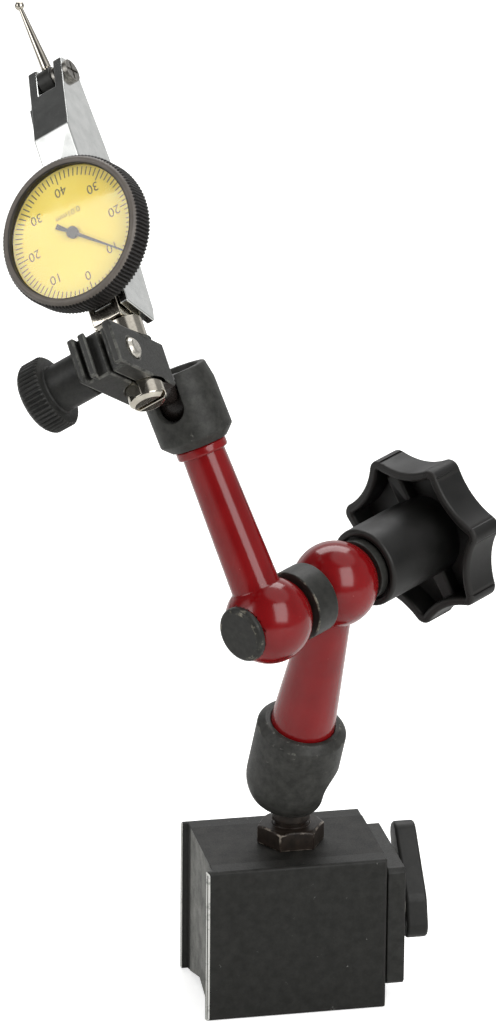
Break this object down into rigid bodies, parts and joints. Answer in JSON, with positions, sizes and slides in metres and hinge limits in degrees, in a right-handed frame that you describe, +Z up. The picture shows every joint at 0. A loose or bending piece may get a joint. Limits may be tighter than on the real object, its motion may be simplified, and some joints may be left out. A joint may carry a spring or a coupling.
{
  "type": "magnetic indicator stand",
  "caption": "Switchable magnetic base with a red two-section arm on ball joints, a central locking star knob and a stem clamp holding a lever dial indicator.",
  "frame": {"origin": "middle of the magnetic foot plane", "axes": "+X along the base towards the switch lever, +Y to the back, +Z up"},
  "size_m": [0.1075, 0.0795, 0.2175],
  "materials": {
    "black_steel": "blackened, worn at the edges",
    "bright_steel": "bright steel",
    "magnet": "magnet alloy",
    "nickel": "satin nickel and chrome",
    "brass": "turned brass",
    "red_enamel": "glossy red enamel",
    "black_plastic": "black moulded plastic",
    "dial_yellow": "printed yellow dial",
    "crystal_glass": "clear crystal"
  },
  "bodies": {
    "base": {"front_pole": "black_steel", "rear_pole": "black_steel", "core_block": "black_steel", "rotor_bush": "brass", "switch_plate": "black_steel", "plate_screws": "bright_steel", "jam_nut": "black_steel"},
    "switch": {"magnet_rotor": "magnet", "switch_spindle": "bright_steel", "switch_lever": "black_steel", "lever_screw": "bright_steel"},
    "stud": {"ball_stud": "bright_steel"},
    "lower_seat": {"lower_seat": "brass"},
    "lower_arm": {"lower_cup": "black_steel", "lower_arm": "red_enamel", "spacer_ring": "black_steel", "thrust_collar": "black_steel"},
    "lower_rod": {"lower_push_rod": "bright_steel"},
    "bolt": {"clamp_bolt": "black_steel"},
    "knob": {"star_knob": "black_plastic", "knob_insert": "brass"},
    "upper_arm": {"upper_arm": "red_enamel", "upper_cup": "black_steel", "upper_seat": "brass"},
    "upper_rod": {"upper_push_rod": "bright_steel"},
    "upper_ball": {"upper_ball": "bright_steel"},
    "clamp": {"jaw_stem": "bright_steel", "fixed_jaw": "black_steel"},
    "moving_jaw": {"moving_jaw": "black_steel"},
    "thumb_screw": {"thumb_knob": "black_steel", "clamp_screw": "nickel"},
    "stem": {"indicator_stem": "nickel"},
    "indicator": {"dovetail_clamp": "nickel", "dovetail_screw": "bright_steel", "indicator_body": "nickel", "side_cover": "nickel", "cover_screws": "bright_steel", "pivot_screws": "bright_steel"},
    "bezel": {"bezel": "black_plastic", "crystal": "crystal_glass", "dial_plate": "dial_yellow", "bezel_spring": "bright_steel"},
    "lever": {"sector_lever": "bright_steel"},
    "crown": {"crown_gear": "brass"},
    "pointer": {"pointer": "bright_steel", "pointer_arbor": "brass"},
    "stylus": {"stylus_barrel": "black_steel", "stylus": "nickel"}
  },
  "joints": [
    {"name": "magnet_switch", "type": "hinge", "parent": "base", "child": "switch", "pos_m": [0, 0, 0.0183], "axis": [1, 0, 0], "range_deg": [0, 90]},
    {"name": "lower_swivel", "type": "hinge", "parent": "base", "child": "stud", "pos_m": [0.0016, 0, 0.0506], "axis": [0, 0, 1], "continuous": true},
    {"name": "lower_tilt", "type": "hinge", "parent": "stud", "child": "lower_seat", "pos_m": [0.0016, 0, 0.0506], "axis": [0.9537, 0.3007, 0], "range_deg": [-42, 3]},
    {"name": "lower_roll", "type": "hinge", "parent": "lower_seat", "child": "lower_arm", "pos_m": [0.0016, 0, 0.0506], "axis": [0.1004, -0.3184, 0.9426], "continuous": true},
    {"name": "lock_knob", "type": "hinge", "parent": "lower_arm", "child": "knob", "pos_m": [0.00692, -0.01687, 0.10056], "axis": [0.8044, 0.5836, 0.1114], "range_deg": [0, 540]},
    {"name": "bolt_draw", "type": "slide", "parent": "lower_arm", "child": "bolt", "axis": [0.8044, 0.5836, 0.1114], "range_m": [-0.0012, 0]},
    {"name": "lower_rod_slide", "type": "slide", "parent": "lower_arm", "child": "lower_rod", "axis": [0.1004, -0.3184, 0.9426], "range_m": [0, 0.00025]},
    {"name": "elbow", "type": "hinge", "parent": "lower_arm", "child": "upper_arm", "pos_m": [-0.00997, -0.02913, 0.09822], "axis": [0.8044, 0.5836, 0.1114], "range_deg": [-60, 130]},
    {"name": "upper_rod_slide", "type": "slide", "parent": "upper_arm", "child": "upper_rod", "axis": [-0.3198, 0.2673, 0.909], "range_m": [-0.00025, 0]},
    {"name": "upper_tilt", "type": "hinge", "parent": "upper_arm", "child": "upper_ball", "pos_m": [-0.0259, -0.01581, 0.14349], "axis": [0.7752, -0.4778, 0.4133], "range_deg": [-80, 24]},
    {"name": "clamp_spin", "type": "hinge", "parent": "upper_ball", "child": "clamp", "pos_m": [-0.0259, -0.01581, 0.14349], "axis": [-0.6316, -0.6023, 0.4882], "range_deg": [-60, 60]},
    {"name": "thumb_turn", "type": "hinge", "parent": "clamp", "child": "thumb_screw", "pos_m": [-0.04592, -0.03491, 0.15896], "axis": [-0.7593, 0.3533, -0.5464], "range_deg": [0, 540]},
    {"name": "jaw_open", "type": "slide", "parent": "clamp", "child": "moving_jaw", "axis": [0.7593, -0.3533, 0.5464], "range_m": [0, 0.0012]},
    {"name": "stem_slide", "type": "slide", "parent": "clamp", "child": "stem", "axis": [-0.1566, 0.7159, 0.6805], "range_m": [-0.003, 0.004]},
    {"name": "indicator_swivel", "type": "hinge", "parent": "stem", "child": "indicator", "pos_m": [-0.03845, -0.03112, 0.1567], "axis": [-0.1566, 0.7159, 0.6805], "continuous": true},
    {"name": "bezel_turn", "type": "hinge", "parent": "indicator", "child": "bezel", "pos_m": [-0.04304, -0.01015, 0.17664], "axis": [-0.6316, -0.6023, 0.4882], "continuous": true},
    {"name": "measuring_lever", "type": "hinge", "parent": "indicator", "child": "lever", "pos_m": [-0.04657, 0.02239, 0.20258], "axis": [0.7593, -0.3533, 0.5464], "range_deg": [-1.5, 1.5], "stiffness_Nm_per_rad": 0.02},
    {"name": "crown_turn", "type": "hinge", "parent": "indicator", "child": "crown", "pos_m": [-0.04152, -0.0087, 0.17547], "axis": [0.7593, -0.3533, 0.5464], "range_deg": [-50.45, 50.45]},
    {"name": "pointer_turn", "type": "hinge", "parent": "indicator", "child": "pointer", "pos_m": [-0.04304, -0.01015, 0.17664], "axis": [-0.6316, -0.6023, 0.4882], "range_deg": [-178.07, 178.07]},
    {"name": "stylus_aim", "type": "hinge", "parent": "lever", "child": "stylus", "pos_m": [-0.04657, 0.02239, 0.20258], "axis": [0.7593, -0.3533, 0.5464], "range_deg": [-71, 48]}
  ],
  "couplings": [
    {"joint": "bolt_draw", "follows": "lock_knob", "m_per_rad": -0.00012732},
    {"joint": "lower_rod_slide", "follows": "lock_knob", "m_per_rad": 0.000026526},
    {"joint": "upper_rod_slide", "follows": "lock_knob", "m_per_rad": -0.000026526},
    {"joint": "jaw_open", "follows": "thumb_turn", "m_per_rad": 0.00012732},
    {"joint": "crown_turn", "follows": "measuring_lever", "ratio": -33.636},
    {"joint": "pointer_turn", "follows": "measuring_lever", "ratio": -118.72}
  ]
}
